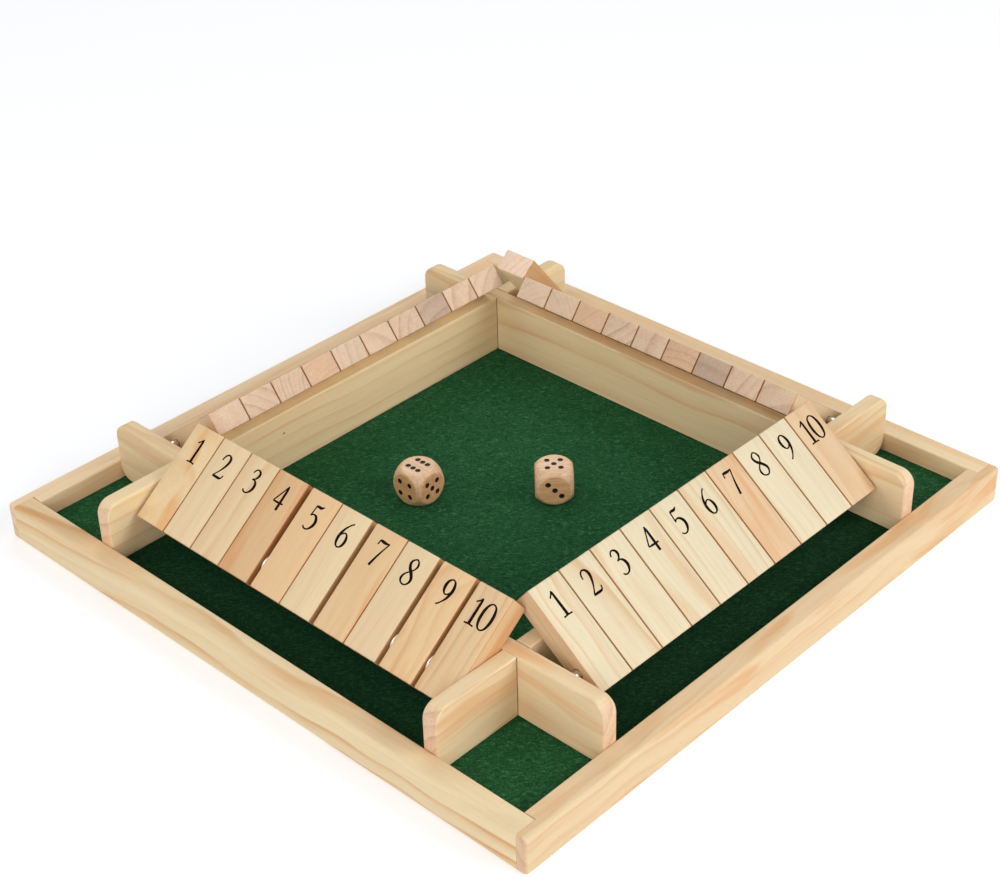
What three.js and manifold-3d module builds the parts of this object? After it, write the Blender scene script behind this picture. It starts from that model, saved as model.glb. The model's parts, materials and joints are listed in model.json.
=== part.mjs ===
// Four-player shut the box board: a pine tray lined with felt, four wall boards notched together in a
// square, and ten numbered tiles on a steel rod along each side, with two wooden dice on the felt.
// Millimetres, +Z up, origin at the middle of the underside.
import * as THREE from 'three';
import { mergeVertices } from 'three/addons/utils/BufferGeometryUtils.js';
import Module from 'manifold-3d';

const wasm = await Module();
wasm.setup();

// Tray frame
const BOARD = 290;            // outer side of the square tray
const RAIL_WIDTH = 9.7;
const RAIL_HEIGHT = 16.6;
const RAIL_LIP = 4.4;         // what is left of a long rail outside its rebate
const RAIL_CORNER = 1.6;      // rounding of the tray's upright corners
const RAIL_EDGE = 1.2;        // rounding of the rails' outer edges
const RAIL_INNER_EDGE = 0.8;  // rounding of the rails' inner edges
const GROOVE_DEPTH = 4;       // groove in each rail that holds the base board
const GROOVE_FLOOR = 3.2;     // height of the groove's lower side above the table

// Floor
const BASE_THICKNESS = 4;
const FELT_THICKNESS = 0.8;
const FLOOR_MARGIN = 0.2;     // what the felt keeps clear of the rails

// Wall boards
const WALL_THICKNESS = 7;
const WALL_HEIGHT = 27.3;
const WALL_CORNER = 6;        // rounding of the boards' four corners
const WALL_EDGE = 0.8;

// Tiles
const TILES = 10;
const TILE_WIDTH = 16.55;
const TILE_LENGTH = 44.3;
const TILE_THICKNESS = 9.9;
const TILE_TAIL = 10.4;       // from the rod's centre to the end away from the number
const TILE_EDGE = 0.5;
const TILE_GAP = 0.25;        // between neighbouring tiles
const ROD_OUT = 16.9;         // from a wall's outer face to the middle of the rod beside it
const PIVOT_HEIGHT = 28.7;
const REST_GAP = 0.3;         // between a tile and what it leans on
const PASS_GAP = 0.3;         // between a tile and a tile of the next bank that passes it
const BANK_PLAY = 1.3;        // between a bank's far end and the wall there

// Rods
const ROD_DIAMETER = 4;
const ROD_SEAT = 4;           // depth of the blind hole that holds a rod's end
const ROD_END_GAP = 0.3;
const RUN_CLEARANCE = 0.04;   // all round a rod in a tile
const SEAT_CLEARANCE = 0.05;  // all round a rod in a wall or a washer

// Washers
const WASHER_DIAMETER = 9;
const WASHER_THICKNESS = 0.8;
const WASHER_STAND = 0.2;     // off the side of the tile that follows

// Dice
const DIE_SIZE = 16;
const DIE_BALL_SHARE = 0.66; // radius of the ball that rounds a die, as a share of its size
const DIE_ONE = [-21.4, 29.6];
const DIE_TWO = [16.4, -11.9];

const JOINT_GAP = 0.05;       // between glued or seated faces
const OVERRUN = 1;            // how far a cutter runs past what it cuts

// Numbers of sides and segments
const ROD_SIDES = 20;
const ARC_STEPS = 3;
const CORNER_STEPS = 6;
const DIE_STEPS = 24;
const DIE_RINGS = 12;

// Places that follow from the sizes above
const HALF_BOARD = BOARD / 2;
const RAIL_INNER = HALF_BOARD - RAIL_WIDTH;
const FELT_TOP = GROOVE_FLOOR + JOINT_GAP + BASE_THICKNESS + FELT_THICKNESS;
const WALL_FOOT = FELT_TOP + JOINT_GAP;
const WALL_TOP = WALL_FOOT + WALL_HEIGHT;
const ROD_RADIUS = ROD_DIAMETER / 2;
const TILE_REACH = TILE_LENGTH - TILE_TAIL;
const LEAN = leanOnWall();
const CLOSE_SPAN = TILES * TILE_WIDTH + (TILES - 1) * TILE_GAP;

// A bank just fits between the tips of the next bank's tiles and the wall at its far end
const PLAY_SIDE = CLOSE_SPAN + overhang(LEAN) + PASS_GAP + BANK_PLAY - WALL_THICKNESS - ROD_OUT;
const WALL_INNER = PLAY_SIDE / 2;
const WALL_OUTER = WALL_INNER + WALL_THICKNESS;
const WALL_CENTRE = WALL_INNER + WALL_THICKNESS / 2;
const WALL_LENGTH = 2 * (RAIL_INNER - JOINT_GAP);
const PIVOT_OUT = WALL_OUTER + ROD_OUT;
const CORNER_START = overhang(LEAN) + PASS_GAP - PIVOT_OUT;

const MATERIALS = {
  rail: { color: 0xe3c193, roughness: 0.62 },
  wall: { color: 0xe2c595, roughness: 0.62 },
  tile: { color: 0xe8d0a2, roughness: 0.6 },
  amber: { color: 0xd3a471, roughness: 0.6 },
  base: { color: 0xd5b88a, roughness: 0.75 },
  felt: { color: 0x1d5433, roughness: 1 },
  steel: { color: 0xc4c4c2, roughness: 0.3, metalness: 1 },
  die: { color: 0xdcb48c, roughness: 0.5 },
};

function material(name) {
  return new THREE.MeshStandardMaterial(MATERIALS[name]);
}

// A closed triangle mesh as a solid that can be joined and cut, and back again
function toSolid(geometry) {
  const bare = geometry.clone();
  bare.deleteAttribute('normal');
  bare.deleteAttribute('uv');
  const merged = mergeVertices(bare);
  const mesh = new wasm.Mesh({
    numProp: 3,
    vertProperties: new Float32Array(merged.attributes.position.array),
    triVerts: new Uint32Array(merged.index.array),
  });
  return new wasm.Manifold(mesh);
}

function toGeometry(solid) {
  const mesh = solid.getMesh();
  const geometry = new THREE.BufferGeometry();
  geometry.setAttribute('position', new THREE.BufferAttribute(mesh.vertProperties, mesh.numProp));
  geometry.setIndex(new THREE.BufferAttribute(mesh.triVerts, 1));
  geometry.computeVertexNormals();
  return geometry;
}

function cut(body, cutters) {
  let solid = toSolid(body);
  for (const cutter of cutters) solid = solid.subtract(toSolid(cutter));
  return toGeometry(solid);
}

// A box given by its lowest and highest corners
function boxBetween(low, high) {
  const size = high.map((value, axis) => value - low[axis]);
  const box = new THREE.BoxGeometry(...size);
  return box.translate(...low.map((value, axis) => value + size[axis] / 2));
}

// An outline with its own rounding at each corner; corners run anticlockwise as [x, y, radius]
function roundedOutline(corners, steps) {
  const shape = new THREE.Shape();
  corners.forEach(([x, y, radius], index) => {
    const before = corners[(index + corners.length - 1) % corners.length];
    const after = corners[(index + 1) % corners.length];
    const arrive = new THREE.Vector2(before[0] - x, before[1] - y).setLength(radius);
    const leave = new THREE.Vector2(after[0] - x, after[1] - y).setLength(radius);
    for (let step = 0; step <= (radius ? steps : 0); step += 1) {
      const turn = (step / steps) * (Math.PI / 2);
      const point = new THREE.Vector2(x, y)
        .addScaledVector(arrive, 1 - Math.sin(turn))
        .addScaledVector(leave, 1 - Math.cos(turn));
      if (index + step === 0) shape.moveTo(point.x, point.y);
      else shape.lineTo(point.x, point.y);
    }
  });
  shape.closePath();
  return shape;
}

// Turns a profile drawn in Y and Z, and extruded along its own third axis, to run along X
function alongX(geometry) {
  const basis = new THREE.Matrix4().makeBasis(
    new THREE.Vector3(0, 1, 0), new THREE.Vector3(0, 0, 1), new THREE.Vector3(1, 0, 0));
  return geometry.applyMatrix4(basis);
}

// A profile extruded to a length along X, centred on it, with all its end edges eased
function easedBar(shape, length, edge, segments) {
  const depth = length - 2 * edge;
  const bar = new THREE.ExtrudeGeometry(shape, {
    depth,
    steps: 1,
    bevelEnabled: true,
    bevelThickness: edge,
    bevelSize: edge,
    bevelOffset: -edge,
    bevelSegments: segments,
  });
  return alongX(bar.translate(0, 0, -depth / 2));
}

function rodAlongX(radius, length) {
  const rod = new THREE.CylinderGeometry(radius, radius, length, ROD_SIDES);
  return rod.rotateZ(Math.PI / 2);
}

// Radius of a many-sided hole whose flats just clear a round rod
function holeRadius(clearance) {
  return (ROD_RADIUS + clearance) / Math.cos(Math.PI / ROD_SIDES);
}

// The tray's outside as one solid block, all its outer edges and corners rounded
function trayBlock() {
  const reach = HALF_BOARD;
  const corners = [[-reach, -reach], [reach, -reach], [reach, reach], [-reach, reach]];
  const plan = roundedOutline(corners.map(([x, y]) => [x, y, RAIL_CORNER]), ARC_STEPS);
  const depth = RAIL_HEIGHT - 2 * RAIL_EDGE;
  const block = new THREE.ExtrudeGeometry(plan, {
    depth,
    steps: 1,
    bevelEnabled: true,
    bevelThickness: RAIL_EDGE,
    bevelSize: RAIL_EDGE,
    bevelOffset: -RAIL_EDGE,
    bevelSegments: ARC_STEPS,
  });
  return block.translate(0, 0, RAIL_EDGE);
}

// A rail along the front of the block, its inner edges eased and grooved for the base board,
// less what the cutters take from its ends
function rail(cutters) {
  const outer = -HALF_BOARD - OVERRUN;
  const section = roundedOutline([
    [outer, 0, 0],
    [-RAIL_INNER, 0, RAIL_INNER_EDGE],
    [-RAIL_INNER, RAIL_HEIGHT, RAIL_INNER_EDGE],
    [outer, RAIL_HEIGHT, 0],
  ], ARC_STEPS);
  const length = BOARD + 2 * OVERRUN;
  const bar = new THREE.ExtrudeGeometry(section, { depth: length, steps: 1, bevelEnabled: false });
  alongX(bar.translate(0, 0, -length / 2));
  const groove = boxBetween(
    [-RAIL_INNER - GROOVE_DEPTH, -RAIL_INNER - GROOVE_DEPTH, GROOVE_FLOOR],
    [RAIL_INNER + GROOVE_DEPTH, -RAIL_INNER + OVERRUN, GROOVE_FLOOR + BASE_THICKNESS + 2 * JOINT_GAP]);
  let solid = toSolid(bar).intersect(toSolid(trayBlock())).subtract(toSolid(groove));
  for (const cutter of cutters) solid = solid.subtract(toSolid(cutter));
  return toGeometry(solid);
}

// A cutter over the full height at each end of the front rail, between two distances from its middle
// and from a depth in front of the board's middle to the rail's inner face
function endCutters(from, front) {
  return [-1, 1].map((end) => {
    const along = [end * from, end * (HALF_BOARD + 2 * OVERRUN)];
    return boxBetween(
      [Math.min(...along), front, -OVERRUN],
      [Math.max(...along), -RAIL_INNER + OVERRUN, RAIL_HEIGHT + OVERRUN]);
  });
}

// Front and back rails run the full length and are rebated at both ends for the other two
function longRail() {
  return rail(endCutters(RAIL_INNER - JOINT_GAP, -HALF_BOARD + RAIL_LIP));
}

// Side rails are let into those rebates, and end square
function sideRail() {
  return rail(endCutters(HALF_BOARD - RAIL_LIP - JOINT_GAP, -HALF_BOARD - 2 * OVERRUN));
}

function baseBoard() {
  const reach = RAIL_INNER + GROOVE_DEPTH - JOINT_GAP;
  const floor = GROOVE_FLOOR + JOINT_GAP;
  return boxBetween([-reach, -reach, floor], [reach, reach, floor + BASE_THICKNESS]);
}

function feltSheet() {
  const reach = RAIL_INNER - FLOOR_MARGIN;
  return boxBetween([-reach, -reach, FELT_TOP - FELT_THICKNESS], [reach, reach, FELT_TOP]);
}

// The front wall board, notched from above or from below where it crosses its neighbours,
// with a blind hole near each end for the rods of the banks at its sides
function wallBoard(notchedFromAbove) {
  const end = WALL_LENGTH / 2;
  const corners = [
    [-end, WALL_FOOT, WALL_CORNER],
    [end, WALL_FOOT, WALL_CORNER],
    [end, WALL_TOP, WALL_CORNER],
    [-end, WALL_TOP, WALL_CORNER],
  ];
  const depth = WALL_THICKNESS - 2 * WALL_EDGE;
  const board = new THREE.ExtrudeGeometry(roundedOutline(corners, CORNER_STEPS), {
    depth,
    steps: 1,
    bevelEnabled: true,
    bevelThickness: WALL_EDGE,
    bevelSize: WALL_EDGE,
    bevelOffset: -WALL_EDGE,
    bevelSegments: ARC_STEPS,
  });
  board.translate(0, 0, -depth / 2).rotateX(Math.PI / 2).translate(0, -WALL_CENTRE, 0);
  const middle = (WALL_FOOT + WALL_TOP) / 2;
  const floor = notchedFromAbove ? middle - JOINT_GAP / 2 : WALL_FOOT - OVERRUN;
  const roof = notchedFromAbove ? WALL_TOP + OVERRUN : middle + JOINT_GAP / 2;
  const cutters = [];
  for (const side of [-1, 1]) {
    const centre = side * WALL_CENTRE;
    const half = WALL_THICKNESS / 2 + JOINT_GAP;
    cutters.push(boxBetween(
      [centre - half, -WALL_OUTER - OVERRUN, floor],
      [centre + half, -WALL_INNER + OVERRUN, roof]));
    const hole = rodAlongX(holeRadius(SEAT_CLEARANCE), ROD_SEAT + OVERRUN).rotateZ(Math.PI / 2);
    const holeCentre = -WALL_INNER - ROD_SEAT + (ROD_SEAT + OVERRUN) / 2;
    cutters.push(hole.translate(side * PIVOT_OUT, holeCentre, PIVOT_HEIGHT));
  }
  return cut(board, cutters);
}

function tileRod() {
  const rod = rodAlongX(ROD_RADIUS, 2 * (WALL_INNER + ROD_SEAT - ROD_END_GAP));
  return rod.translate(0, -PIVOT_OUT, PIVOT_HEIGHT);
}

// A washer about its rod
function washer() {
  const disc = rodAlongX(WASHER_DIAMETER / 2, WASHER_THICKNESS);
  return cut(disc, [rodAlongX(holeRadius(SEAT_CLEARANCE), WASHER_THICKNESS + 2 * OVERRUN)]);
}

// A tile about its rod: the number end lies towards +Y, the number face towards +Z
function tileBlock() {
  const half = TILE_THICKNESS / 2;
  const corners = [
    [-TILE_TAIL, -half, TILE_EDGE],
    [TILE_REACH, -half, TILE_EDGE],
    [TILE_REACH, half, TILE_EDGE],
    [-TILE_TAIL, half, TILE_EDGE],
  ];
  const block = easedBar(roundedOutline(corners, 1), TILE_WIDTH, TILE_EDGE, 1);
  return cut(block, [rodAlongX(holeRadius(RUN_CLEARANCE), TILE_WIDTH + 2 * OVERRUN)]);
}

// How far above level a tile leans when its back lies on the outer top edge of its wall
function leanOnWall() {
  const out = ROD_OUT + WALL_EDGE;
  const up = WALL_TOP - WALL_EDGE - PIVOT_HEIGHT;
  const offset = TILE_THICKNESS / 2 + WALL_EDGE + REST_GAP;
  return Math.atan2(up, out) + Math.asin(offset / Math.hypot(out, up));
}

// How far in from the rod, towards the middle, the lower edge of a leaning tile's number end comes
function overhang(lean) {
  return TILE_REACH * Math.cos(lean) + (TILE_THICKNESS / 2) * Math.sin(lean);
}

// The lean at which a tile stops against the side of the last tile of the next bank
function leanOnNeighbour(side) {
  const reach = Math.hypot(TILE_REACH, TILE_THICKNESS / 2);
  const share = (PIVOT_OUT - side - PASS_GAP) / reach;
  return Math.acos(share) + Math.atan2(TILE_THICKNESS / 2, TILE_REACH);
}

// Numbers of the tiles with a washer on the rod just before them
const WASHER_TILES = { front: [], right: [], back: [], left: [5, 9, 10] };
const WASHER_ROOM = WASHER_STAND + WASHER_THICKNESS;

// Gaps of the bank whose tiles are spread along their rod, from the wall at the player's left:
// a washer's room where there is one, and a share of what tiles and washers leave between the walls
const ROOM = PLAY_SIDE - TILES * TILE_WIDTH - WASHER_TILES.left.length * WASHER_ROOM;
const LOOSE_GAP_SHARES = [0.232, 0.0193, 0.0193, 0.0193, 0.174, 0.0193, 0.2826, 0.0193, 0.116, 0.0725];

// Each bank's quarter turns from the front, where its first tile begins along the rod, and its gaps
const CLOSE_GAPS = Array(TILES - 1).fill(TILE_GAP);
const [LOOSE_START, ...LOOSE_GAPS] = LOOSE_GAP_SHARES.map(looseGap);
const BANKS = {
  front: { turns: 0, start: CORNER_START, gaps: CLOSE_GAPS },
  right: { turns: 1, start: CORNER_START, gaps: CLOSE_GAPS },
  back: { turns: 2, start: -CORNER_START - CLOSE_SPAN, gaps: CLOSE_GAPS },
  left: { turns: 3, start: LOOSE_START - WALL_INNER, gaps: LOOSE_GAPS },
};

function looseGap(share, index) {
  const washered = WASHER_TILES.left.includes(index + 1);
  return share * ROOM + (washered ? WASHER_ROOM : 0);
}

// Numbers of the tiles cut from darker wood
const AMBER_TILES = { front: [10], right: [3, 6], back: [2, 8], left: [4, 7, 9] };

// Where along its rod each tile of a bank begins, from tile 1 at the player's left
function tileStarts(bank) {
  const starts = [bank.start];
  for (const gap of bank.gaps) starts.push(starts[starts.length - 1] + TILE_WIDTH + gap);
  return starts;
}

// The last tile on the right stands steeper, against the side of the back bank's first tile
function tileLean(side, index) {
  const stopped = side === 'right' && index === TILES - 1;
  return stopped ? leanOnNeighbour(-BANKS.back.start) : LEAN;
}

function die() {
  const ball = new THREE.SphereGeometry(DIE_SIZE * DIE_BALL_SHARE, DIE_STEPS, DIE_RINGS);
  const cube = new THREE.BoxGeometry(DIE_SIZE, DIE_SIZE, DIE_SIZE);
  return toGeometry(toSolid(cube).intersect(toSolid(ball)));
}

function namedMesh(name, geometry, materialName) {
  const mesh = new THREE.Mesh(geometry, material(materialName));
  mesh.name = name;
  return mesh;
}

function buildSide(side, bank) {
  const group = new THREE.Group();
  group.rotation.z = (bank.turns * Math.PI) / 2;
  const long = bank.turns % 2 === 0;
  group.add(namedMesh(`${side}_rail`, long ? longRail() : sideRail(), 'rail'));
  group.add(namedMesh(`${side}_wall`, wallBoard(long), 'wall'));
  group.add(namedMesh(`${side}_rod`, tileRod(), 'steel'));
  tileStarts(bank).forEach((start, index) => {
    const number = String(index + 1).padStart(2, '0');
    const wood = AMBER_TILES[side].includes(index + 1) ? 'amber' : 'tile';
    const tile = namedMesh(`${side}_tile_${number}`, tileBlock(), wood);
    tile.position.set(start + TILE_WIDTH / 2, -PIVOT_OUT, PIVOT_HEIGHT);
    tile.rotation.x = tileLean(side, index);
    group.add(tile);
    if (WASHER_TILES[side].includes(index + 1)) {
      const ring = namedMesh(`${side}_washer_${number}`, washer(), 'steel');
      ring.position.set(start - WASHER_STAND - WASHER_THICKNESS / 2, -PIVOT_OUT, PIVOT_HEIGHT);
      group.add(ring);
    }
  });
  return group;
}

function buildDie(name, [x, y], turn) {
  const mesh = namedMesh(name, die(), 'die');
  mesh.position.set(x, y, FELT_TOP + JOINT_GAP + DIE_SIZE / 2);
  mesh.rotation.z = turn;
  return mesh;
}

const board = new THREE.Group();
board.add(namedMesh('base_board', baseBoard(), 'base'));
board.add(namedMesh('felt_sheet', feltSheet(), 'felt'));
for (const [side, bank] of Object.entries(BANKS)) board.add(buildSide(side, bank));
board.add(buildDie('die_1', DIE_ONE, 0));
board.add(buildDie('die_2', DIE_TWO, Math.PI / 4));

export default board;
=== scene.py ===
"""Dresses a four-player shut the box board: pine tray, numbered tiles on steel rods, green felt and dice.

Run as a script, it registers its operators and calls them in order.
"""

import json
import math
import random
from contextlib import contextmanager

import bmesh
import bpy
from bpy.props import FloatProperty, FloatVectorProperty, IntProperty, PointerProperty
from mathutils import Matrix, Vector, noise
from mathutils.geometry import delaunay_2d_cdt


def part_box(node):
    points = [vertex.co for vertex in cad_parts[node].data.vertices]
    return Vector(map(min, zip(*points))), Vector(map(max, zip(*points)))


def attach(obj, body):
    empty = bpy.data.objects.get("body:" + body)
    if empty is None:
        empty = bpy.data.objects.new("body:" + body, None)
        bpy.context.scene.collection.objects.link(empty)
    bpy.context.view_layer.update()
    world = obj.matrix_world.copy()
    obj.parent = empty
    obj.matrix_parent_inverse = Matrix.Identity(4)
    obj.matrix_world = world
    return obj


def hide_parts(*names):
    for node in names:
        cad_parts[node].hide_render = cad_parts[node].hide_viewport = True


bl_info = {
    "name": "Shut the box board",
    "version": (1, 0, 0),
    "blender": (4, 5, 0),
    "location": "3D View > Sidebar > Shut the box",
    "description": "Wood, felt, steel and figures for a four-player shut the box board",
    "category": "Object",
}

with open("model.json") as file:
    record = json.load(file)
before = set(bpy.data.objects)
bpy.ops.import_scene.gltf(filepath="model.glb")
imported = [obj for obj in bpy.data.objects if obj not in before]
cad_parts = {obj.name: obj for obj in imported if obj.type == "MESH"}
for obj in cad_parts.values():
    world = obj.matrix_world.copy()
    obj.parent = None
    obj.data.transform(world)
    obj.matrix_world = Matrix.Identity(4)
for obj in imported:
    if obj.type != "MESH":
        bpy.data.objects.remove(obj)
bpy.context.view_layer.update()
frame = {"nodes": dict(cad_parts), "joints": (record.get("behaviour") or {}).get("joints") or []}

MM = 0.001
HALF_SIDE = 145 * MM
SIDES = ("front", "right", "back", "left")
# The front and back boards run along X, the right and left ones along Y
AXES = ((1.0, 0.0, 0.0), (0.0, 1.0, 0.0))
UP = (0.0, 0.0, 1.0)
WHITE = (1.0, 1.0, 1.0)
BODY = "tray"


# ---- settings that a user would change


def srgb(*channels):
    """A colour written as on a screen, 0 to 255, as linear values."""
    values = [channel / 255 for channel in channels]
    return tuple(v / 12.92 if v <= 0.04045 else ((v + 0.055) / 1.055) ** 2.4 for v in values)


def tint(name, description, *channels):
    return FloatVectorProperty(
        name=name, description=description, default=srgb(*channels), subtype="COLOR",
        size=3, min=0.0, max=1.0)


def span(name, description, default, low=0.0):
    return FloatProperty(
        name=name, description=description, default=default, min=low, unit="LENGTH",
        subtype="DISTANCE", precision=5)


def turning(name, description, degrees):
    return FloatProperty(
        name=name, description=description, default=math.radians(degrees), subtype="ANGLE",
        unit="ROTATION")


def amount(name, description, default, top=10.0):
    return FloatProperty(name=name, description=description, default=default, min=0.0, max=top)


class PineSettings(bpy.types.PropertyGroup):
    """Colours and figure of the pine parts"""
    earlywood: tint("Earlywood", "Pale wood between the year rings", 238, 219, 182)
    latewood: tint("Latewood", "Darker wood of the year rings", 218, 170, 118)
    streak: tint("Streaks", "Soft orange streaks along the grain", 230, 184, 134)
    end_grain: tint("End grain", "Sawn ends of the tiles and boards", 234, 206, 178)
    end_ring: tint("End rings", "Year rings on the sawn ends", 196, 152, 122)
    end_contrast: amount("End contrast", "Strongest year rings on the sawn ends", 0.85)
    # Edge tint of the tiles: partly rubbed by handling, partly painted shade on the rounded edges along the
    # gaps and on the tail ends.
    worn_edge: tint("Worn edges", "Tint of the tiles' handled edges and sides", 222, 162, 114)
    # Painted shade on the tiles' sides that face each other, in the gaps between the tiles.
    seam: tint("Seam", "Tint of the tiles' sides that face each other", 196, 172, 148)
    knot: tint("Knot", "Small dark knots and resin specks", 104, 62, 34)
    joint: span("Joint line", "Dark line where two wall boards cross", 0.35 * MM)
    eased: span("Eased edge", "Width of the eased edges at the joints", 0.12 * MM)
    bump: span("Fibre depth", "Depth of the sanded fibres", 0.05 * MM)


class TileSettings(bpy.types.PropertyGroup):
    """Numbered tiles"""
    edge: span("Edge rounding", "Rounding of the tiles' edges", 0.5 * MM)
    figure_height: span("Figure height", "Height of the printed figures", 10.8 * MM)
    figure_inset: span("Figure inset", "From the number end to a figure's middle", 10.0 * MM)
    figure_wander: span("Figure wander", "How far a figure may stand off its place", 0.35 * MM)
    ink_depth: span("Ink depth", "How far the ink stands on the wood", 0.02 * MM)
    boldness: amount("Boldness", "Width of the figures' strokes", 1.1)
    ink: tint("Ink", "Printed figures", 22, 12, 8)


class FeltSettings(bpy.types.PropertyGroup):
    """Green felt on the base board"""
    green: tint("Felt green", "Main colour of the felt", 37, 91, 53)
    deep: tint("Deep green", "Hollows between the fibres", 22, 66, 38)
    light: tint("Fibre green", "Raised fibres", 82, 146, 100)
    # Painted shade: the felt in the channels under the tiles is darkened to this share of the open felt's
    # brightness.
    shelter: amount("Shelter", "Brightness under the tiles, against the open felt", 0.5)
    fibres: IntProperty(
        name="Fibres", description="Loose fibres on the felt", default=9000, min=0, max=12000)
    fibre_length: span("Fibre length", "Length of a loose fibre", 2.6 * MM)
    fibre_radius: span("Fibre radius", "Radius of a loose fibre", 0.035 * MM)
    waviness: span("Waviness", "How far the felt's top rises and falls", 0.03 * MM)


class DiceSettings(bpy.types.PropertyGroup):
    """Wooden dice"""
    ball_share: amount("Ball share", "Radius of the rounding ball over the die's side", 0.66, 1.0)
    blend: span("Edge blend", "Softness of the edge between face and ball", 0.35 * MM)
    spot: span("Spot radius", "Radius of a painted spot", 1.18 * MM)
    spot_depth: span("Spot depth", "Depth of a painted spot", 0.38 * MM)
    wood: tint("Dice wood", "Fine pale wood of the dice", 246, 210, 172)
    fleck: tint("Dice flecks", "Short flecks in the dice wood", 214, 168, 126)
    side: tint("Dice sides", "Tint of the flat sides", 250, 236, 216)
    paint: tint("Spot paint", "Paint in the spots", 30, 18, 13)


class RodSettings(bpy.types.PropertyGroup):
    """Steel rods and their washers"""
    sides: IntProperty(name="Sides", description="Sides of a rod's section", default=40, min=12, max=96)
    chamfer: span("End chamfer", "Chamfer at a rod's ends", 0.3 * MM)
    washer_edge: span("Washer edge", "Rounding of a washer's edges", 0.12 * MM)
    steel: tint("Steel", "Bright drawn steel", 206, 202, 196)
    zinc: tint("Zinc", "Pale plating of the washers", 236, 232, 222)


class StageSettings(bpy.types.PropertyGroup):
    """Camera, lights and floor"""
    azimuth: turning("Azimuth", "Camera's direction round the board", -46.31)
    elevation: turning("Elevation", "Camera's height above the horizon", 33.41)
    roll: turning("Roll", "Camera's turn about its own axis", -1.33)
    distance: span("Distance", "From the board's middle to the camera", 5.736 * HALF_SIDE)
    aside: span("Aside", "Board's middle to the right of the view axis", -0.028 * HALF_SIDE, -1.0)
    above: span("Above", "Board's middle above the view axis", -0.220 * HALF_SIDE, -1.0)
    lens: amount("Lens", "Focal length for a 36 mm wide sensor, in millimetres", 71.72, 300.0)
    ambient: amount("Ambient", "Strength of the even light from all round", 0.2)
    key_power: amount("Key power", "Watts of the lamp in front of the board", 17.6, 500.0)
    side_power: amount("Side power", "Watts of the lamp at the board's left", 14.0, 500.0)
    back_power: amount("Back power", "Watts of the lamp behind the board, left", 6.0, 500.0)
    far_power: amount("Far power", "Watts of the lamp behind the board, right", 7.0, 500.0)
    floor: tint("Floor", "Colour of the floor", 238, 240, 244)
    floor_lift: amount("Floor lift", "Whiteness added to the floor as the camera sees it", 0.33)


SETTINGS = {
    "shut_box_pine": PineSettings,
    "shut_box_tiles": TileSettings,
    "shut_box_felt": FeltSettings,
    "shut_box_dice": DiceSettings,
    "shut_box_rods": RodSettings,
    "shut_box_stage": StageSettings,
}


# ---- material nodes


class Nodes:
    """A node tree under construction, with short ways to add and join its nodes."""

    def __init__(self, tree):
        self.tree = tree

    def put(self, socket, value):
        if isinstance(value, bpy.types.NodeSocket):
            self.tree.links.new(value, socket)
        elif socket.type == "RGBA" and len(value) == 3:
            socket.default_value = (*value, 1.0)
        else:
            socket.default_value = value

    def fill(self, node, inputs):
        """Sets or joins a node's inputs, given by name or by number."""
        for key, value in inputs.items():
            self.put(node.inputs[key if isinstance(key, int) else key.replace("_", " ")], value)
        return node

    def node(self, kind, settings=(), **inputs):
        made = self.tree.nodes.new(kind)
        for key, value in dict(settings).items():
            setattr(made, key, value)
        return self.fill(made, inputs)

    def maths(self, operation, *values):
        made = self.node("ShaderNodeMath", {"operation": operation})
        return self.fill(made, dict(enumerate(values))).outputs[0]

    def plus(self, first, second):
        return self.maths("ADD", first, second)

    def times(self, first, second):
        return self.maths("MULTIPLY", first, second)


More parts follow.
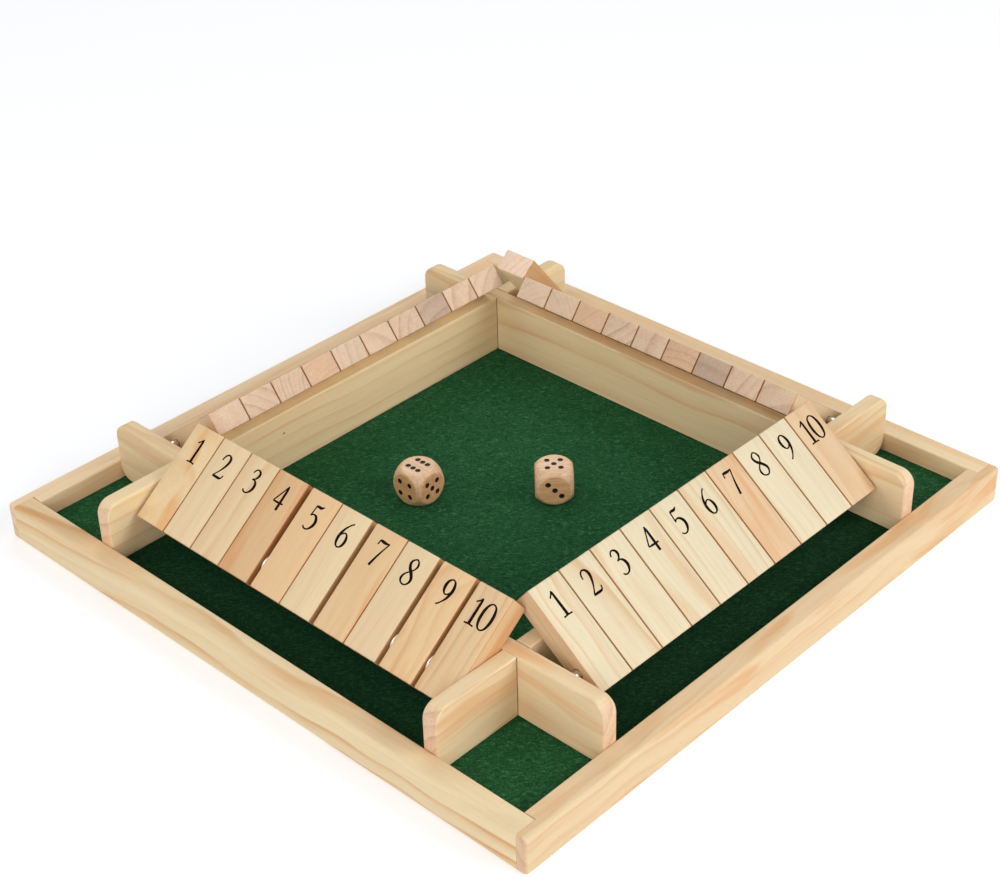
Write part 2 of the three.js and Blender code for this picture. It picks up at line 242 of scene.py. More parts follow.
class Shader(Nodes):
    """A material under construction."""

    def __init__(self, name):
        self.material = bpy.data.materials.new(name)
        self.material.use_nodes = True
        super().__init__(self.material.node_tree)
        self.surface = self.tree.nodes["Principled BSDF"]

    def read(self, name, output="Vector"):
        """An attribute of the mesh."""
        return self.node("ShaderNodeAttribute", {"attribute_name": name}).outputs[output]

    def place(self):
        return self.node("ShaderNodeTexCoord").outputs["Object"]

    def vector(self, operation, *values):
        made = self.node("ShaderNodeVectorMath", {"operation": operation})
        self.fill(made, dict(enumerate(values)))
        return made.outputs["Value" if operation == "LENGTH" else "Vector"]

    def noise(self, place, stretch, detail=2.0, roughness=0.5, output="Fac"):
        """Noise from 0 to 1 with so many features per metre on each axis."""
        scaled = self.vector("MULTIPLY", place, stretch)
        made = self.node(
            "ShaderNodeTexNoise", Vector=scaled, Scale=1.0, Detail=detail, Roughness=roughness)
        return made.outputs[output]

    def strands(self, grain, across, along, detail=2.0, roughness=0.5):
        """Noise with so many features per metre across the grain and along it."""
        return self.noise(grain, (across, across, along), detail, roughness)

    def moved(self, place, stretch, reach):
        """The place moved about at random, by up to half of the reach on each axis."""
        away = self.vector("SUBTRACT", self.noise(place, stretch, output="Color"), (0.5,) * 3)
        made = self.node("ShaderNodeVectorMath", {"operation": "SCALE"}, Vector=away, Scale=reach)
        return made.outputs["Vector"]

    def spread(self, value, low, high, bottom=0.0, top=1.0):
        """A smooth step from the bottom to the top while the value goes from low to high."""
        made = self.node("ShaderNodeMapRange", {"interpolation_type": "SMOOTHSTEP"}, Value=value,
                         From_Min=low, From_Max=high, To_Min=bottom, To_Max=top)
        return made.outputs["Result"]

    def ramp(self, value, stops):
        made = self.node("ShaderNodeValToRGB", Fac=value)
        ramp = made.color_ramp
        ramp.interpolation = "B_SPLINE"
        while len(ramp.elements) < len(stops):
            ramp.elements.new(1.0)
        for element, (position, level) in zip(ramp.elements, stops):
            element.position = position
            element.color = (level, level, level, 1.0)
        return made.outputs["Color"]

    def mix(self, share, first, second, blend="MIX"):
        made = self.node("ShaderNodeMix", {"data_type": "RGBA", "blend_type": blend})
        return self.fill(made, {0: share, 6: first, 7: second}).outputs[2]

    def layer(self, colour, field, low, high, strength, second, blend="MIX"):
        """Lays the second colour over the first as the field goes from low to high."""
        return self.mix(self.spread(field, low, high, 0.0, strength), colour, second, blend)

    def shaded(self, colour, level):
        grey = self.node("ShaderNodeCombineColor", Red=level, Green=level, Blue=level)
        return self.mix(1.0, colour, grey.outputs["Color"], "MULTIPLY")

    def finish(self, colour, roughness, gloss, bump=None, **uniform):
        """Joins colour, roughness, gloss and a bump of height, depth and strength to the surface."""
        if bump:
            height, depth, strength = bump
            made = self.node("ShaderNodeBump", Height=height, Distance=depth, Strength=strength)
            uniform["Normal"] = made.outputs["Normal"]
        self.fill(self.surface, {
            "Base Color": colour, "Roughness": roughness, "Specular IOR Level": gloss, **uniform})
        return self.material


# Darkness across one year ring, from its early wood to its late wood
YEAR_RING = ((0.0, 0.0), (0.35, 0.04), (0.72, 0.35), (0.9, 1.0), (1.0, 0.0))


def pine_material(name, pine, knots=(), crossings=()):
    """Solid pine from the pieces' own grain coordinates, so that faces, sides and sawn ends agree."""
    s = Shader(name)
    grain = s.read("grain")
    contrast, wave, amber = s.node("ShaderNodeSeparateXYZ", Vector=s.read("figure")).outputs
    wander = s.moved(grain, (14.0, 14.0, 11.0), s.times(wave, 0.011))
    ripple = s.moved(grain, (170.0, 170.0, 30.0), 0.0012)
    bent = s.vector("ADD", s.vector("ADD", grain, wander), ripple)
    radius = s.vector("LENGTH", s.vector("MULTIPLY", bent, (1.0, 1.0, 0.0)))
    years = s.maths("DIVIDE", radius, s.read("tone", "Alpha"))
    strength = s.node("ShaderNodeTexWhiteNoise", {"noise_dimensions": "1D"}, W=s.maths("FLOOR", years))
    strength = s.spread(strength.outputs["Value"], 0.0, 1.0, 0.15, 1.0)
    ring = s.times(s.ramp(s.maths("FRACT", years), YEAR_RING), strength)
    fibre = s.strands(grain, 2400.0, 80.0, 3.0, 0.6)
    strand = s.strands(grain, 750.0, 22.0)
    drift = s.strands(bent, 130.0, 9.0, 2.0, 0.45)
    cloud = s.strands(grain, 60.0, 18.0)
    shown = s.times(contrast, s.spread(cloud, 0.25, 0.7, 0.3, 1.0))
    wood = s.mix(s.times(ring, shown), pine.earlywood, pine.latewood)
    wood = s.mix(s.times(s.spread(drift, 0.46, 0.66), amber), wood, pine.streak)
    pores = s.strands(grain, 3000.0, 240.0)
    wood = s.layer(wood, pores, 0.63, 0.72, 0.2, pine.latewood, "MULTIPLY")
    endwise = s.maths("MINIMUM", s.plus(contrast, 0.2), pine.end_contrast)
    ends = s.mix(s.times(ring, endwise), pine.end_grain, pine.end_ring)
    speckle = s.strands(grain, 1900.0, 40.0, 3.0, 0.7)
    ends = s.layer(ends, speckle, 0.4, 0.72, s.times(endwise, 0.55), pine.end_ring)
    blotch = s.strands(grain, 320.0, 20.0)
    ends = s.layer(ends, blotch, 0.4, 0.75, 0.3, pine.earlywood)
    colour = s.mix(s.read("sawn", "Fac"), wood, ends)
    colour = s.mix(1.0, colour, s.read("tone", "Color"), "MULTIPLY")
    # Darker tint on the tiles' edges: partly rubbed by handling, partly painted shade along the gaps and on
    # the tail ends.
    edge_darkening = s.spread(s.strands(grain, 400.0, 60.0), 0.2, 0.75, 0.55, 1.0)
    colour = s.mix(s.times(edge_darkening, s.read("edge", "Fac")), colour, pine.worn_edge, "MULTIPLY")
    # Painted shade on the tiles' sides that face other tiles.
    colour = s.mix(s.read("seam", "Fac"), colour, pine.seam, "MULTIPLY")
    fine = s.spread(fibre, 0.2, 0.8, 0.475, 0.52)
    colour = s.shaded(colour, s.plus(fine, s.spread(strand, 0.25, 0.75, 0.475, 0.525)))
    for where, size in knots:
        away = s.vector("MULTIPLY", s.vector("SUBTRACT", s.place(), where), (1.0, 1.0, 1.6))
        speck = s.spread(s.vector("LENGTH", away), size * 0.4, size, 0.85, 0.0)
        colour = s.mix(speck, colour, pine.knot)
    for out in crossings:
        plan = s.vector("MULTIPLY", s.vector("ABSOLUTE", s.place()), (1.0, 1.0, 0.0))
        away = s.vector("LENGTH", s.vector("SUBTRACT", plan, (out, out, 0.0)))
        colour = s.mix(s.spread(away, 0.3 * pine.joint, pine.joint, 0.75, 0.0), colour, pine.knot)
    relief = s.plus(s.times(ring, -0.35), fibre)
    return s.finish(colour, s.spread(fibre, 0.2, 0.8, 0.5, 0.66), 0.16, (relief, pine.bump, 0.5))


def plywood_material(name, pine):
    """Rotary-cut veneer with wide wandering bands and a few patches."""
    s = Shader(name)
    place = s.place()
    bands = s.noise(place, (14.0, 90.0, 700.0), 3.0, 0.55)
    wander = s.noise(place, (4.0, 26.0, 1.0))
    fibre = s.noise(place, (60.0, 1900.0, 1900.0), 3.0, 0.6)
    colour = s.layer(pine.earlywood, bands, 0.35, 0.7, 1.0, pine.latewood)
    colour = s.layer(colour, wander, 0.45, 0.8, 0.5, pine.streak)
    colour = s.layer(colour, fibre, 0.4, 0.8, 0.3, pine.latewood, "MULTIPLY")
    return s.finish(colour, s.spread(fibre, 0.2, 0.8, 0.6, 0.8), 0.25, (fibre, pine.bump, 0.7))


def unshaded_share(s, border):
    """1 on the play field and in the corner pockets, 0 in the channels under the tiles, which get painted
    shade.
    """
    away = s.node("ShaderNodeSeparateXYZ", Vector=s.vector("ABSOLUTE", s.place())).outputs
    play = s.maths("LESS_THAN", s.maths("MAXIMUM", away["X"], away["Y"]), border)
    pocket = s.maths("GREATER_THAN", s.maths("MINIMUM", away["X"], away["Y"]), border)
    return s.maths("MAXIMUM", play, pocket)


def felt_material(name, felt, border, loose=False):
    """Pressed wool: matted fibres of three greens, brushed one way, with a soft nap, and painted shade in
    the channels under the tiles.
    """
    s = Shader(name)
    turned = s.node("ShaderNodeMapping", Vector=s.place(), Rotation=(0.0, 0.0, math.radians(45)))
    place = turned.outputs["Vector"]
    matted = s.vector("ADD", place, s.moved(place, (170.0,) * 3, 0.005))
    brushed = s.noise(matted, (420.0, 1800.0, 400.0), 3.0, 0.65)
    crossed = s.noise(matted, (1500.0, 620.0, 400.0), 3.0, 0.65)
    clump = s.noise(place, (90.0, 200.0, 60.0))
    hair = s.plus(s.times(brushed, 0.65), s.times(crossed, 0.35))
    # Painted shade: the felt in the channels under the tiles is darker than on the open felt.
    level = s.plus(felt.shelter, s.times(unshaded_share(s, border), 1.0 - felt.shelter))
    colour = s.layer(felt.deep, hair, 0.4, 0.54, 1.0, felt.light if loose else felt.green)
    colour = s.layer(colour, hair, 0.52, 0.64, 0.55, felt.light)
    colour = s.layer(colour, clump, 0.35, 0.75, 0.3, felt.deep)
    return s.finish(s.shaded(colour, level), 0.95, 0.1, (hair, 0.25 * MM, 0.8),
                    Sheen_Weight=0.12, Sheen_Roughness=0.5, Sheen_Tint=felt.light)


HANDLED_STEEL = (0.32, 0.3, 0.28)


def steel_material(name, steel, metallic=1.0):
    """Bright steel with fine lines along the rod and faint handling marks."""
    s = Shader(name)
    lines = s.strands(s.read("grain"), 5200.0, 40.0, 2.0, 0.6)
    marks = s.strands(s.read("grain"), 300.0, 120.0, 3.0, 0.6)
    colour = s.layer(steel, marks, 0.45, 0.8, 0.25, HANDLED_STEEL)
    rough = s.plus(s.spread(lines, 0.2, 0.8, 0.12, 0.24), s.spread(marks, 0.5, 0.8, 0.0, 0.12))
    return s.finish(colour, rough, 0.5, (lines, 0.01 * MM, 0.4), Metallic=metallic)


def faded(colour, times):
    """The same colour where it is rubbed thin."""
    return tuple(min(1.0, channel * times + 0.01) for channel in colour)


def ink_material(name, tiles):
    """Printed ink that lets a little of the wood's fibre show."""
    s = Shader(name)
    fibre = s.strands(s.read("grain"), 2400.0, 120.0, 3.0, 0.6)
    colour = s.layer(tiles.ink, fibre, 0.58, 0.78, 0.4, faded(tiles.ink, 5))
    return s.finish(colour, s.spread(fibre, 0.2, 0.8, 0.7, 0.85), 0.06)


def dice_material(name, dice):
    """Fine diffuse-porous wood with short flecks along its grain."""
    s = Shader(name)
    grain = s.read("grain")
    fleck = s.noise(grain, (2600.0, 1700.0, 420.0), 2.0, 0.6)
    fibre = s.strands(grain, 3000.0, 120.0, 3.0, 0.6)
    colour = s.layer(dice.wood, s.strands(grain, 500.0, 45.0), 0.35, 0.7, 0.5, dice.fleck)
    colour = s.layer(colour, s.strands(grain, 1500.0, 60.0), 0.45, 0.65, 0.5, dice.fleck)
    colour = s.layer(colour, fleck, 0.54, 0.66, 0.6, dice.fleck)
    colour = s.mix(s.times(s.read("sawn", "Fac"), 0.2), colour, dice.fleck, "MULTIPLY")
    colour = s.mix(s.read("side", "Fac"), colour, dice.side, "MULTIPLY")
    return s.finish(colour, s.spread(fibre, 0.2, 0.8, 0.36, 0.52), 0.45, (fibre, 0.03 * MM, 0.5))


def paint_material(name, dice):
    """Satin paint pooled in the dice's spots."""
    s = Shader(name)
    pool = s.noise(s.place(), (900.0,) * 3)
    colour = s.layer(dice.paint, pool, 0.55, 0.8, 0.4, faded(dice.paint, 4))
    return s.finish(colour, s.spread(pool, 0.3, 0.7, 0.45, 0.65), 0.25, (pool, 0.05 * MM, 0.5))


# ---- meshes


def mesh_from(name, vertices, faces):
    mesh = bpy.data.meshes.new(name)
    mesh.from_pydata(vertices, [], faces)
    mesh.validate()
    mesh.update()
    return mesh


@contextmanager
def opened(mesh):
    """The mesh's skin to work on, which goes back into the mesh at the end."""
    skin = bmesh.new()
    skin.from_mesh(mesh)
    yield skin
    skin.to_mesh(mesh)
    skin.free()


def outward(mesh):
    """The mesh with all its faces turned outward."""
    with opened(mesh) as skin:
        bmesh.ops.recalc_face_normals(skin, faces=skin.faces)
    return mesh


def loop_faces(count, rows, closed=True):
    """Faces between neighbouring loops of so many points, and from the last loop to the first."""
    return [
        (row * count + here, row * count + (here + 1) % count,
         (row + 1) % rows * count + (here + 1) % count, (row + 1) % rows * count + here)
        for row in range(rows if closed else rows - 1) for here in range(count)]


def turned_mesh(name, profile, sides, hollow):
    """A body turned about X from a profile of x and radius, which closes on itself in a hollow one."""
    angles = [2 * math.pi * step / sides for step in range(sides)]
    vertices = [(x, radius * math.cos(a), radius * math.sin(a)) for x, radius in profile for a in angles]
    faces = loop_faces(sides, len(profile), hollow)
    if not hollow:
        faces += [tuple(range(sides)), tuple(range(len(vertices) - sides, len(vertices)))]
    return outward(mesh_from(name, vertices, faces))


def plate_mesh(name, top, under, flat):
    """A closed plate from the points of its top and its underside and the flat faces of its top."""
    total = len(top)
    edges = {(face[i - 1], face[i]) for face in flat for i in range(len(face))}
    faces = flat + [tuple(corner + total for corner in reversed(face)) for face in flat]
    faces += [(b, a, a + total, b + total) for a, b in sorted(edges) if (b, a) not in edges]
    return mesh_from(name, top + under, faces)


def new_piece(name, mesh, *materials):
    for material in materials:
        mesh.materials.append(material)
    piece = bpy.data.objects.new(name, mesh)
    bpy.context.scene.collection.objects.link(piece)
    return piece


def smooth(mesh, angle):
    mesh.shade_smooth()
    mesh.set_sharp_from_angle(angle=math.radians(angle))


def work(piece, name, kind, inputs=(), **settings):
    """Works one modifier into the piece's mesh; the inputs are a node tree's, by identifier."""
    modifier = piece.modifiers.new(name, kind)
    for key, value in settings.items():
        setattr(modifier, key, value)
    for key, value in dict(inputs).items():
        modifier[key] = value
    graph = bpy.context.evaluated_depsgraph_get()
    mesh = bpy.data.meshes.new_from_object(piece.evaluated_get(graph), depsgraph=graph)
    piece.modifiers.clear()
    piece.data = mesh


DOUBLES = 0.002 * MM
FLAT_ANGLE = math.radians(0.6)


def merged_copy(node, name):
    """A copy of a CAD node's mesh as one closed skin of flat faces."""
    mesh = frame["nodes"][node].data.copy()
    mesh.name = name
    mesh.materials.clear()
    with opened(mesh) as skin:
        bmesh.ops.remove_doubles(skin, verts=skin.verts, dist=DOUBLES)
        bmesh.ops.dissolve_limit(skin, angle_limit=FLAT_ANGLE, verts=skin.verts, edges=skin.edges)
    for extra in [a.name for a in mesh.attributes if a.name.startswith("custom")]:
        mesh.attributes.remove(mesh.attributes[extra])
    return mesh


def eased_piece(node, width, material):
    """A CAD node's own shape with its sharp edges eased, to replace the node."""
    piece = new_piece(node + "_pine", merged_copy(node, node + "_pine"), material)
    work(piece, "eased edges", "BEVEL", width=width, segments=2, limit_method="ANGLE",
         angle_limit=math.radians(50))
    smooth(piece.data, 42.0)
    work(piece, "even shading", "WEIGHTED_NORMAL", keep_sharp=True)
    return piece


# Where each kind of attribute lies on a mesh, and the key of its values
STORES = {
    "FLOAT": ("FACE", "value"), "FLOAT_VECTOR": ("POINT", "vector"), "FLOAT_COLOR": ("POINT", "color")}


def write(mesh, name, values, kind="FLOAT"):
    domain, key = STORES[kind]
    mesh.attributes.new(name, kind, domain).data.foreach_set(key, values)


def between(value, low, high):
    return min(1.0, max(0.0, (value - low) / (high - low)))


class Grain:
    """How a piece of wood was cut: its grain direction, where its rings centre, and its colour."""

    def __init__(self, seed, along, face, tone=WHITE, contrast=0.5, wave=1.0, amber=0.4,
                 spacing=3.0, turn=None, slope=None):
        draw = random.Random(seed)
        self.along = Vector(along).normalized()
        face = Vector(face).normalized()
        side = self.along.cross(face)
        turn = draw.uniform(-1.4, 1.4) if turn is None else turn
        self.out = face * math.cos(turn) + side * math.sin(turn)
        self.side = self.along.cross(self.out)
        self.pith = draw.uniform(0.025, 0.08)
        self.slope = draw.uniform(-0.03, 0.03) if slope is None else slope
        self.shift = draw.uniform(1.0, 9.0)
        spread = draw.uniform(0.97, 1.03)
        self.tone = [channel * spread for channel in tone]
        self.figure = [contrast, wave, amber]
        self.spacing = spacing * draw.uniform(0.75, 1.3) * MM

    def lay_on(self, mesh, centre):
        """Writes the grain coordinates, tone, figure and sawn ends into the mesh's attributes."""
        places = []
        for vertex in mesh.vertices:
            offset = vertex.co - centre
            run = offset.dot(self.along)
            out = offset.dot(self.out) + self.pith + self.slope * run
            places += [out, offset.dot(self.side), run + self.shift]
        count = len(mesh.vertices)
        sawn = [between(abs(face.normal.dot(self.along)), 0.45, 0.95) for face in mesh.polygons]
        write(mesh, "grain", places, "FLOAT_VECTOR")
        write(mesh, "tone", [*self.tone, self.spacing] * count, "FLOAT_COLOR")
        write(mesh, "figure", self.figure * count, "FLOAT_VECTOR")
        write(mesh, "sawn", sawn)


def middle_and_half(node):
    """The middle of a CAD node's box and half of its size."""
    low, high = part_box(node)
    return (low + high) / 2, (high - low) / 2


def settle(piece, body, node=None):
    """Hands a finished piece to the frame."""
    if node:
        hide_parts(node)
    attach(piece, body)


# ---- tile shape

# How far a tile's furthest points may lie short of the furthest one and still be its number end
TIP = 1.2 * MM
CORNER_STEPS, SIDE_STEPS = 3, 7
BORE_CHAMFER = 0.25 * MM
BORE_PLAY = 0.045 * MM
# How much painted shade the free side of a bank's outermost tile gets, against a side that faces another
# tile
OPEN_SHADE = 0.25


class TilePlace:
    """Where a tile stands: its rod's axis, the direction of its number end and its outline."""

    def __init__(self, joint):
        self.node = joint["child"]
        self.pivot = Vector(joint["pos_m"])
        self.across = Vector(joint["axis"]).normalized()
        offsets = [v.co - self.pivot for v in frame["nodes"][self.node].data.vertices]
        flat = [o - self.across * o.dot(self.across) for o in offsets]
        furthest = max(o.length for o in flat)
        tips = {tuple(round(c, 6) for c in o) for o in flat if o.length > furthest - TIP}
        self.along = sum((Vector(tip) for tip in sorted(tips)), Vector()).normalized()
        self.face = self.across.cross(self.along)
        axes = (self.across, self.along, self.face)
        spans = [[o.dot(axis) for o in offsets] for axis in axes]
        self.low, self.high = (Vector([pick(span) for span in spans]) for pick in (min, max))
        self.matrix = Matrix.Translation(self.pivot) @ Matrix(axes).transposed().to_4x4()

    def wear(self, mesh, open_side):
        """Marks the long rounded edges and the tail end for a darker tint, partly rubbed by handling and
        partly painted shade, and the sides towards other tiles for painted shade.

        The open side is -1 on a bank's first tile, 1 on its last, and 0 on the others.
        """
        edge_darkening, gap_shades = [], []
        for polygon in mesh.polygons:
            facing = [abs(polygon.normal.dot(axis)) for axis in (self.face, self.along, self.across)]
            rounded = (1.0 - between(max(facing), 0.88, 0.99)) * between(facing[2], 0.1, 0.3)
            tail = between(-polygon.normal.dot(self.along), 0.8, 0.95)
            edge_darkening.append(max(0.1 * between(facing[2], 0.3, 0.9), 0.9 * rounded, 0.5 * tail))
            # Painted shade on the sides towards other tiles, less on a bank's free end.
            shade = OPEN_SHADE if polygon.normal.dot(self.across) * open_side > 0 else 1.0
            gap_shades.append(shade * between(facing[2], 0.4, 0.9))
        write(mesh, "edge", edge_darkening)
        write(mesh, "seam", gap_shades)


def tile_mesh(place, edge, bore, name):
    """A tile with rounded edges and a bore, built as loops from one bore mouth round to the other."""
    low, high = place.low, place.high
    quarter_turns = [math.pi / 2 * step / CORNER_STEPS for step in range(CORNER_STEPS + 1)]
    ring = []
    middles = [
        Vector((y - math.copysign(edge, y), z - math.copysign(edge, z)))
        for y, z in ((high.y, high.z), (low.y, high.z), (low.y, low.z), (high.y, low.z))]
    for quarter, middle in enumerate(middles):
        for turn in quarter_turns:
            angle = math.pi / 2 * quarter + turn
            normal = Vector((math.cos(angle), math.sin(angle)))
            ring.append((middle, normal))
        onward = middles[(quarter + 1) % 4]
        ring += [(middle.lerp(onward, step / SIDE_STEPS), normal) for step in range(1, SIDE_STEPS)]

    def outline(inset, x):
        return [(x, *(middle + normal * (edge - inset))) for middle, normal in ring]

    def bore_loop(radius, x):
        return [(x, *((middle + normal * edge).normalized() * radius)) for middle, normal in ring]

    halves = []
    for x, inward in ((low.x, 1), (high.x, -1)):
        half = [bore_loop(bore, x + inward * BORE_CHAMFER), bore_loop(bore + BORE_CHAMFER, x)]
        for turn in quarter_turns:
            half.append(outline(edge * (1 - math.sin(turn)), x + inward * edge * (1 - math.cos(turn))))
        halves.append(half)
    loops = halves[0] + halves[1][::-1]
    vertices = [point for loop in loops for point in loop]
    mesh = mesh_from(name, vertices, loop_faces(len(ring), len(loops)))
    mesh.transform(place.matrix)
    return outward(mesh)


def tile_places():
    """Each tile's side, its number from 0 and where it stands, bank by bank."""
    for side in SIDES:
        joints = [joint for joint in frame["joints"] if joint["child"].startswith(side)]
        for index, joint in enumerate(sorted(joints, key=lambda joint: joint["child"])):
            yield side, index, TilePlace(joint)


# ---- figures

# Each stroke runs through points of x, y and half width, in thousandths of a figure's height
FIGURES = {
    "0": [[(250, 980, 18), (110, 900, 36), (40, 700, 52), (25, 500, 56), (40, 300, 52), (110, 100, 36),
          (250, 20, 18), (390, 100, 36), (460, 300, 52), (475, 500, 56), (460, 700, 52), (390, 900, 36),
          (250, 980, 18)]],
    "1": [[(260, 990, 12), (265, 900, 42), (265, 550, 50), (265, 150, 54), (265, 0, 60)], [(70, 790, 10),
          (140, 840, 20), (210, 910, 24), (262, 985, 12)], [(70, 12, 12), (180, 22, 20), (265, 30, 30),
          (360, 22, 20), (470, 12, 12)]],
    "2": [[(60, 690, 14), (75, 800, 30), (140, 920, 30), (250, 965, 28), (370, 890, 48), (405, 740, 54),
          (350, 530, 44), (220, 280, 26), (60, 60, 18)], [(35, 30, 14), (120, 45, 40), (280, 45, 46),
          (410, 50, 40), (480, 100, 20), (510, 210, 10)]],
    "3": [[(55, 790, 14), (90, 890, 28), (200, 965, 24), (330, 910, 42), (370, 780, 50), (300, 640, 32),
          (170, 560, 12)], [(160, 560, 12), (300, 560, 30), (410, 450, 52), (430, 270, 56), (340, 90, 36),
          (200, 20, 22), (90, 45, 30), (40, 110, 26)]],
    "4": [[(355, 990, 10), (280, 820, 18), (150, 550, 18), (30, 310, 14)], [(25, 300, 16), (160, 300, 34),
          (360, 300, 36), (520, 310, 30)], [(355, 990, 14), (365, 850, 44), (365, 450, 52), (365, 10, 52)]],
    "5": [[(120, 930, 20), (200, 930, 44), (360, 930, 46), (460, 1000, 12)], [(135, 950, 18), (115, 750, 18),
          (90, 530, 18)], [(90, 540, 12), (190, 610, 22), (330, 580, 44), (430, 430, 58), (420, 240, 56),
          (310, 70, 34), (180, 20, 22), (80, 50, 28), (35, 110, 24)]],
    "6": [[(420, 1000, 8), (300, 900, 20), (150, 680, 42), (80, 420, 56), (90, 220, 52), (160, 70, 34),
          (270, 20, 20), (390, 100, 42), (440, 270, 56), (410, 450, 46), (320, 560, 24), (210, 550, 16),
          (110, 440, 14)]],
    "7": [[(40, 770, 10), (55, 870, 22), (70, 940, 30)], [(50, 945, 20), (160, 935, 50), (340, 925, 44),
          (500, 950, 14)], [(490, 955, 12), (400, 720, 26), (280, 360, 40), (190, 0, 50)]],
    "8": [[(250, 980, 18), (120, 890, 34), (90, 760, 48), (170, 610, 54), (310, 480, 56), (430, 330, 54),
          (450, 190, 44), (370, 60, 28), (250, 18, 18), (110, 70, 32), (50, 200, 44), (90, 350, 32),
          (220, 490, 16), (350, 620, 22), (410, 770, 40), (360, 910, 32), (250, 980, 18)]],
}
FIGURES["9"] = [[(500 - x, 1000 - y, half) for x, y, half in stroke] for stroke in FIGURES["6"]]
ADVANCE = {"0": 0.52, "1": 0.5}
FIGURE_WIDTH = 0.5
THINNEST = 0.029
CURVE_STEPS = 6


def spline(points):
    """Points on a smooth curve through the given ones."""
    ends = [points[0], *points, points[-1]]
    if points[0] == points[-1]:
        ends = [points[-2], *points, points[1]]
    made = []
    for a, b, c, d in zip(ends, ends[1:], ends[2:], ends[3:]):
        for step in range(CURVE_STEPS):
            t = step / CURVE_STEPS
            made.append(tuple(
                0.5 * (2 * q + (r - p) * t + (2 * p - 5 * q + 4 * r - w) * t * t
                       + (3 * q - p - 3 * r + w) * t ** 3)
                for p, q, r, w in zip(a, b, c, d)))
    return [*made, points[-1]]


def stroke_quads(points, boldness):
    """A pen stroke as four-cornered pieces from point to point."""
    path = [Vector(point[:2]) for point in points]
    closed = path[0] == path[-1]
    befores = [path[-2] if closed else path[0], *path[:-1]]
    afters = [*path[1:], path[1] if closed else path[-1]]
    sides = []
    for before, after, point in zip(befores, afters, points):
        way = (after - before).normalized()
        sides.append(Vector((-way.y, way.x)) * max(point[2] * boldness, THINNEST))
    return [
        [a + u, a - u, b - v, b + v]
        for a, b, u, v in zip(path, path[1:], sides, sides[1:])]


def figure_outline(text, boldness):
    """The strokes of a number as one flat set of triangles, in heights of a figure."""
    corners, quads, start = [], [], 0.0
    for character in text:
        for stroke in FIGURES[character]:
            points = [tuple(value / 1000 for value in point) for point in stroke]
            for quad in stroke_quads(spline(points), boldness):
                quads.append(list(range(len(corners), len(corners) + 4)))
                corners += [point + Vector((start, 0.0)) for point in quad]
        start += ADVANCE.get(character, FIGURE_WIDTH)
    made = delaunay_2d_cdt(corners, [], quads, 1, 1e-5)
    points = made[0]
    triangles = [triangle for triangle, within in zip(made[2], made[5]) if within]
    left, right = min(p.x for p in points), max(p.x for p in points)
    return [p - Vector(((left + right) / 2, 0.5)) for p in points], triangles


def figure_mesh(name, text, tiles):
    """A number as a thin closed plate of ink, half of it in the wood."""
    points, triangles = figure_outline(text, tiles.boldness)
    flat = [tuple(t) if (points[t[1]] - points[t[0]]).cross(points[t[2]] - points[t[0]]) > 0
            else tuple(reversed(t)) for t in triangles]
    used = sorted({corner for triangle in flat for corner in triangle})
    place = {corner: index for index, corner in enumerate(used)}
    flat = [tuple(place[corner] for corner in triangle) for triangle in flat]
    top, under = (
        [(*(points[corner] * tiles.figure_height), level) for corner in used]
        for level in (tiles.ink_depth, -tiles.ink_depth))
    return plate_mesh(name, top, under, flat)


# ---- how each piece of wood was cut

# The first random seed of each kind of piece; its other pieces count on from there
SEEDS = {"rail": 11, "wall": 31, "die": 60, "tile": 100}

# The back and right rails' tones are lighter than the front and left ones partly as a painted highlight,
# standing in for the sheen that the lamps behind the board give their tops.
RAIL_CUTS = {
    "front": dict(tone=(0.97, 0.89, 0.83), contrast=0.6, amber=0.8, wave=2.2, spacing=6.0, turn=0.7),
    "left": dict(
        tone=(1.02, 1.0, 0.95), contrast=1.7, amber=0.4, wave=1.4, spacing=5.0, turn=0.5, slope=0.045),
    "back": dict(tone=(1.1, 1.03, 1.02), contrast=0.6, amber=0.4, wave=1.0, spacing=6.0, turn=0.8),
    "right": dict(tone=(1.1, 1.05, 1.02), contrast=0.5, amber=0.4, wave=1.2, spacing=6.0, turn=0.3),
}
WALL_CUTS = {
    "front": dict(tone=(1.02, 0.96, 0.9), contrast=0.9, amber=0.6, wave=1.2, spacing=5.0, turn=0.9),
    "left": dict(tone=(1.02, 0.96, 0.9), contrast=0.9, amber=0.6, wave=1.2, spacing=5.0, turn=0.6),
    "back": dict(tone=(1.08, 1.03, 0.94), contrast=0.8, amber=0.15, wave=0.8, spacing=5.0, turn=1.1),
    "right": dict(tone=(1.02, 0.97, 0.9), contrast=0.8, amber=0.15, wave=0.8, spacing=6.0, turn=0.8),
}

CREAM = dict(contrast=0.8, amber=0.55, wave=1.6, spacing=2.8)
STREAKY = dict(contrast=0.9, amber=0.25, wave=0.7, spacing=2.4)
PALE = dict(tone=(1.0, 1.01, 1.02), contrast=0.35, amber=0.12, spacing=3.0)
PALEST = {**PALE, "tone": (1.18, 1.19, 1.26)}
PLAIN = dict(tone=(1.0, 0.99, 0.98), contrast=0.15, amber=0.15, spacing=3.0)
AMBER = dict(tone=(0.9, 0.76, 0.67), contrast=0.7, amber=0.7, wave=1.2, spacing=3.5)
SWIRL = dict(tone=(0.98, 0.89, 0.81), contrast=0.9, amber=0.9, wave=3.5, spacing=6.0)
TAN = dict(tone=(0.93, 0.86, 0.82), contrast=0.8, amber=0.8, wave=1.6, spacing=4.0)
BLUSH = dict(tone=(0.97, 0.86, 0.78), contrast=0.2, amber=0.2, spacing=2.0)
ROSY = dict(tone=(0.95, 0.79, 0.7), contrast=0.7, amber=0.8, spacing=3.2)
GREY = dict(tone=(0.74, 0.73, 0.76), contrast=1.0, amber=0.2, spacing=5.0)
